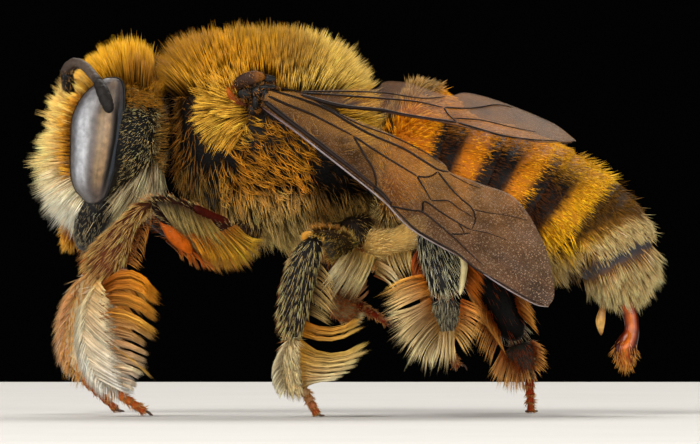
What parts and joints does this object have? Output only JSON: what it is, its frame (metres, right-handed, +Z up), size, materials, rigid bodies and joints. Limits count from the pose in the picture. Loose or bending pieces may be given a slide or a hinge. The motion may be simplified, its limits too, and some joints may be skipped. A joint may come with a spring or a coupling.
{
  "type": "male leafcutter bee",
  "caption": "Still life-size model of a male leafcutter bee standing on four feet, with golden coat, banded abdomen, half folded wings and broad fringed feet.",
  "frame": {"origin": "centre of the bounding box, at the level of the soles", "axes": "+Z up; the bee faces -X and its left side is towards -Y"},
  "size_m": [0.0158, 0.0114, 0.0099],
  "materials": {
    "golden_coat": "dense golden hair",
    "pale_coat": "cream and straw hair",
    "banded_coat": "orange hair with dark bands",
    "eye": "satin grey facets",
    "cuticle": "pitted dark brown shell",
    "amber_cuticle": "reddish amber shell",
    "wing": "smoky brown membrane with dark veins"
  },
  "bodies": {
    "root": {"neck": "cuticle", "waist": "cuticle", "eye_left": "eye", "eye_right": "eye", "head": "golden_coat", "thorax": "golden_coat", "abdomen_segment_1": "banded_coat", "abdomen_segment_2": "banded_coat", "abdomen_segment_3": "banded_coat", "abdomen_segment_4": "banded_coat", "abdomen_segment_5": "banded_coat", "abdomen_segment_6": "banded_coat", "front_left_coxa": "amber_cuticle", "front_left_femur": "pale_coat", "front_left_tibia": "amber_cuticle", "front_left_basitarsus": "pale_coat", "front_left_tarsus": "amber_cuticle", "front_right_coxa": "amber_cuticle", "front_right_femur": "pale_coat", "front_right_tibia": "amber_cuticle", "front_right_basitarsus": "pale_coat", "front_right_tarsus": "amber_cuticle", "middle_left_coxa": "cuticle", "middle_left_femur": "cuticle", "middle_left_tibia": "cuticle", "middle_left_basitarsus": "pale_coat", "middle_left_tarsus": "cuticle", "middle_right_coxa": "cuticle", "middle_right_femur": "cuticle", "middle_right_tibia": "cuticle", "middle_right_basitarsus": "pale_coat", "middle_right_tarsus": "cuticle", "hind_left_coxa": "cuticle", "hind_left_femur": "pale_coat", "hind_left_tibia": "cuticle", "hind_left_basitarsus": "pale_coat", "hind_left_tarsus": "cuticle", "hind_right_coxa": "cuticle", "hind_right_femur": "pale_coat", "hind_right_tibia": "cuticle", "hind_right_basitarsus": "pale_coat", "hind_right_tarsus": "cuticle", "antenna_scape_left": "cuticle", "antenna_scape_right": "cuticle", "antenna_flagellum_left": "cuticle", "antenna_flagellum_right": "cuticle", "mandible_left": "cuticle", "mandible_right": "cuticle", "labrum": "amber_cuticle", "tegula_left": "amber_cuticle", "tegula_right": "amber_cuticle", "forewing_left": "wing", "forewing_right": "wing", "hindwing_left": "wing", "hindwing_right": "wing", "tail_clasper_left": "amber_cuticle", "tail_clasper_right": "amber_cuticle"}
  },
  "joints": []
}
